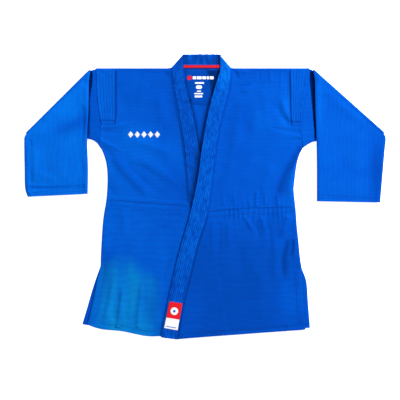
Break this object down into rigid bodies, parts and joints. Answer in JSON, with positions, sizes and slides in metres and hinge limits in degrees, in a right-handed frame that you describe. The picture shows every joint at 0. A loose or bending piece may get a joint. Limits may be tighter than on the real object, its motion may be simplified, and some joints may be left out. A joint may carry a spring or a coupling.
{
  "type": "martial arts uniform jacket",
  "caption": "Wrap-over cotton martial arts jacket lying flat on its back, with padded lapel, waist seam, side vents and folding sleeves; fronts and sleeves open on hinges.",
  "frame": {"origin": "centre of the back at the waist, on the flat face the jacket rests on", "axes": "+X towards the wearer's left side, +Y from the waist towards the collar, +Z out of the front of the jacket"},
  "size_m": [1.0889, 0.8562, 0.0186],
  "materials": {
    "body_cloth": "ribbed cotton weave",
    "lapel_cloth": "quilted cotton, rows of stitching",
    "facing_cloth": "plain cotton weave",
    "lapel_padding": "cotton wadding",
    "red_tape": "woven tape",
    "white_thread": "satin stitch",
    "woven_patch": "woven label"
  },
  "bodies": {
    "torso": {"back_panel": "body_cloth", "back_skirt": "body_cloth", "back_yoke_lining": "facing_cloth", "neck_print": "white_thread", "back_waist_tape": "facing_cloth", "back_hem_facing": "facing_cloth", "left_back_vent_facing": "facing_cloth", "right_back_vent_facing": "facing_cloth", "collar_neck_cover": "lapel_cloth", "collar_neck_core": "lapel_padding", "neck_seam_tape": "red_tape", "left_side_panel": "body_cloth", "right_side_panel": "body_cloth", "left_side_skirt": "body_cloth", "right_side_skirt": "body_cloth", "left_side_waist_tape": "facing_cloth", "right_side_waist_tape": "facing_cloth", "right_side_hem_facing": "facing_cloth", "right_front_vent_facing": "facing_cloth", "left_shoulder_lining": "facing_cloth", "right_shoulder_lining": "facing_cloth", "left_armhole_band": "facing_cloth", "right_armhole_band": "facing_cloth", "chest_emblem": "white_thread", "left_sleeve_root": "body_cloth", "right_sleeve_root": "body_cloth"},
    "left_front": {"left_chest_panel": "body_cloth", "left_front_skirt": "body_cloth", "left_front_waist_tape": "facing_cloth", "left_front_hem_facing": "facing_cloth", "left_front_vent_facing": "facing_cloth", "left_lapel_cover": "lapel_cloth", "left_lapel_core": "lapel_padding", "left_lapel_patch": "woven_patch"},
    "right_front": {"right_chest_panel": "body_cloth", "right_front_skirt": "body_cloth", "right_front_waist_tape": "facing_cloth", "right_front_hem_facing": "facing_cloth", "right_lapel_cover": "lapel_cloth", "right_lapel_core": "lapel_padding"},
    "left_sleeve": {"left_sleeve": "body_cloth", "left_cuff_facing": "facing_cloth"},
    "right_sleeve": {"right_sleeve": "body_cloth", "right_cuff_facing": "facing_cloth"}
  },
  "joints": [
    {"name": "left_front_open", "type": "hinge", "parent": "torso", "child": "left_front", "pos_m": [0.057, 0.444, 0.018], "axis": [-0.3531, 0.9356, 0], "range_deg": [0, 170]},
    {"name": "right_front_open", "type": "hinge", "parent": "torso", "child": "right_front", "pos_m": [-0.051, 0.444, 0.0116], "axis": [-0.1927, -0.9813, 0], "range_deg": [0, 153]},
    {"name": "left_sleeve_fold", "type": "hinge", "parent": "torso", "child": "left_sleeve", "pos_m": [0.3384, 0.4158, 0.0093], "axis": [-0.746, 0.666, 0], "range_deg": [0, 178]},
    {"name": "right_sleeve_fold", "type": "hinge", "parent": "torso", "child": "right_sleeve", "pos_m": [-0.3342, 0.4155, 0.0093], "axis": [-0.7095, -0.7047, 0], "range_deg": [0, 178]}
  ],
  "couplings": [
    {"joint": "right_front_open", "follows": "left_front_open", "ratio": 0.9}
  ]
}
